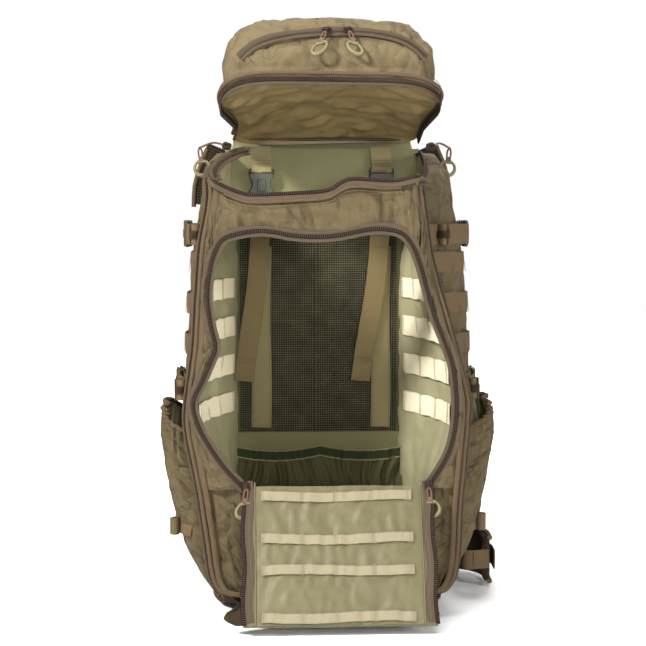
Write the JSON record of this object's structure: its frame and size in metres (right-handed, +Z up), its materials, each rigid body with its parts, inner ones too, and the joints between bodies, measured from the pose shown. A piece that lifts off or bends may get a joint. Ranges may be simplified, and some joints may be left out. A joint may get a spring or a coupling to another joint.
{
  "type": "hunting backpack",
  "caption": "Panel-loading hunting backpack with its hood raised and its front panel unzipped and folded down, webbing rows, side pockets, harness and hip belt.",
  "frame": {"origin": "middle of the bottom panel's underside", "axes": "+Z up, +Y towards the wearer's back, -Y the bag's front, +X to the right of someone who faces the front"},
  "size_m": [0.418, 0.3983, 0.6878],
  "materials": {
    "shell": "woven nylon",
    "lining": "coated nylon lining",
    "flap_lining": "glossy coated nylon lining",
    "mesh": "open knitted mesh",
    "webbing": "woven nylon webbing",
    "pale_webbing": "woven nylon webbing",
    "zip": "coil zip on woven tape",
    "buckle": "moulded acetal",
    "grey_buckle": "moulded acetal",
    "ring": "moulded ring on cord",
    "padding": "foam under spacer mesh"
  },
  "bodies": {
    "pack": {"bottom_panel": "shell", "back_panel": "shell", "inner_lining": "lining", "mesh_panel": "mesh", "front_panel": "shell", "zip_opening": "zip", "zip_mouth": "zip", "gathered_pocket": "lining", "side_panel_left": "shell", "side_panel_right": "shell", "inner_strap_left": "webbing", "inner_strap_right": "webbing", "inner_buckle_left": "grey_buckle", "inner_buckle_right": "grey_buckle", "inner_webbing_left": "pale_webbing", "inner_webbing_right": "pale_webbing", "outer_webbing_left": "webbing", "outer_webbing_right": "webbing", "side_pocket_left": "shell", "side_pocket_right": "shell", "upper_buckle_socket_left": "buckle", "upper_buckle_socket_right": "buckle", "lower_buckle_socket_left": "buckle", "lower_buckle_socket_right": "buckle", "upper_strap_left": "webbing", "upper_strap_right": "webbing", "lower_strap_left": "webbing", "lower_strap_right": "webbing", "back_pad_left": "padding", "back_pad_right": "padding", "shoulder_strap_left": "padding", "shoulder_strap_right": "padding", "lumbar_pad": "padding", "haul_handle": "webbing", "sternum_socket": "buckle", "sternum_strap": "webbing"},
    "hood": {"hood_shell": "shell", "lid_pocket": "shell", "zip_hood": "zip", "zip_lid_pocket": "zip"},
    "flap_lower": {"flap_lower": "flap_lining", "flap_webbing": "pale_webbing"},
    "flap_upper": {"flap_upper": "shell"},
    "belt_right": {"belt_wing_right": "padding"},
    "belt_left": {"belt_wing_left": "padding", "belt_socket": "buckle"},
    "belt_plug": {"belt_plug": "buckle"},
    "sternum_plug": {"sternum_plug": "buckle"},
    "lid_pull_left": {"lid_pull_left": "ring"},
    "lid_pull_right": {"lid_pull_right": "ring"},
    "mouth_pull_left": {"mouth_pull_left": "ring"},
    "mouth_pull_right": {"mouth_pull_right": "ring"},
    "flap_pull_left": {"flap_pull_left": "ring"},
    "flap_pull_right": {"flap_pull_right": "ring"},
    "hanging_strap_left": {"hanging_strap_left": "pale_webbing"},
    "hanging_strap_right": {"hanging_strap_right": "pale_webbing"},
    "upper_buckle_plug_left": {"upper_buckle_plug_left": "buckle"},
    "upper_buckle_plug_right": {"upper_buckle_plug_right": "buckle"},
    "lower_buckle_plug_left": {"lower_buckle_plug_left": "buckle"},
    "lower_buckle_plug_right": {"lower_buckle_plug_right": "buckle"}
  },
  "joints": [
    {"name": "hood_hinge", "type": "hinge", "parent": "pack", "child": "hood", "pos_m": [0, 0.108, 0.556], "axis": [1, 0, 0], "range_deg": [-76, 23.5]},
    {"name": "flap_hinge", "type": "hinge", "parent": "pack", "child": "flap_lower", "pos_m": [0, -0.131, 0.163], "axis": [1, 0, 0], "range_deg": [-153, 0]},
    {"name": "flap_fold", "type": "hinge", "parent": "flap_lower", "child": "flap_upper", "pos_m": [0, -0.20611, 0.01272], "axis": [1, 0, 0], "range_deg": [-181, 0]},
    {"name": "lid_pull_left_swing", "type": "hinge", "parent": "hood", "child": "lid_pull_left", "pos_m": [-0.013, -0.10648, 0.67956], "axis": [1, 0, 0], "range_deg": [-110, 0]},
    {"name": "mouth_pull_left_swing", "type": "hinge", "parent": "pack", "child": "mouth_pull_left", "pos_m": [-0.16, 0.02, 0.547], "axis": [1, 0, 0], "range_deg": [-60, 60]},
    {"name": "flap_pull_left_swing", "type": "hinge", "parent": "pack", "child": "flap_pull_left", "pos_m": [-0.127, -0.13, 0.152], "axis": [1, 0, 0], "range_deg": [-80, 0]},
    {"name": "hanging_strap_left_swing", "type": "hinge", "parent": "pack", "child": "hanging_strap_left", "pos_m": [-0.076, 0.087, 0.466], "axis": [1, 0, 0], "range_deg": [-40, 1]},
    {"name": "upper_buckle_left_release", "type": "slide", "parent": "pack", "child": "upper_buckle_plug_left", "axis": [0, -1, 0], "range_m": [0, 0.0145]},
    {"name": "lower_buckle_left_release", "type": "slide", "parent": "pack", "child": "lower_buckle_plug_left", "axis": [0, -1, 0], "range_m": [0, 0.0145]},
    {"name": "lid_pull_right_swing", "type": "hinge", "parent": "hood", "child": "lid_pull_right", "pos_m": [0.013, -0.10648, 0.67956], "axis": [1, 0, 0], "range_deg": [-110, 0]},
    {"name": "mouth_pull_right_swing", "type": "hinge", "parent": "pack", "child": "mouth_pull_right", "pos_m": [0.16, 0.02, 0.547], "axis": [1, 0, 0], "range_deg": [-60, 60]},
    {"name": "flap_pull_right_swing", "type": "hinge", "parent": "pack", "child": "flap_pull_right", "pos_m": [0.127, -0.13, 0.152], "axis": [1, 0, 0], "range_deg": [-80, 0]},
    {"name": "hanging_strap_right_swing", "type": "hinge", "parent": "pack", "child": "hanging_strap_right", "pos_m": [0.076, 0.087, 0.466], "axis": [1, 0, 0], "range_deg": [-40, 1]},
    {"name": "upper_buckle_right_release", "type": "slide", "parent": "pack", "child": "upper_buckle_plug_right", "axis": [0, -1, 0], "range_m": [0, 0.0145]},
    {"name": "lower_buckle_right_release", "type": "slide", "parent": "pack", "child": "lower_buckle_plug_right", "axis": [0, -1, 0], "range_m": [0, 0.0145]},
    {"name": "sternum_buckle_release", "type": "slide", "parent": "pack", "child": "sternum_plug", "axis": [-1, 0, 0], "range_m": [0, 0.0145]},
    {"name": "belt_right_swing", "type": "hinge", "parent": "pack", "child": "belt_right", "pos_m": [0.124, 0.129, 0.034], "axis": [0, 0, 1], "range_deg": [-2, 75]},
    {"name": "belt_left_swing", "type": "hinge", "parent": "pack", "child": "belt_left", "pos_m": [-0.124, 0.129, 0.034], "axis": [0, 0, 1], "range_deg": [-5, 62]},
    {"name": "belt_buckle_release", "type": "slide", "parent": "belt_right", "child": "belt_plug", "axis": [0, -1, 0], "range_m": [0, 0.0145]}
  ],
  "couplings": [
    {"joint": "flap_fold", "follows": "flap_hinge", "ratio": 1.176}
  ]
}
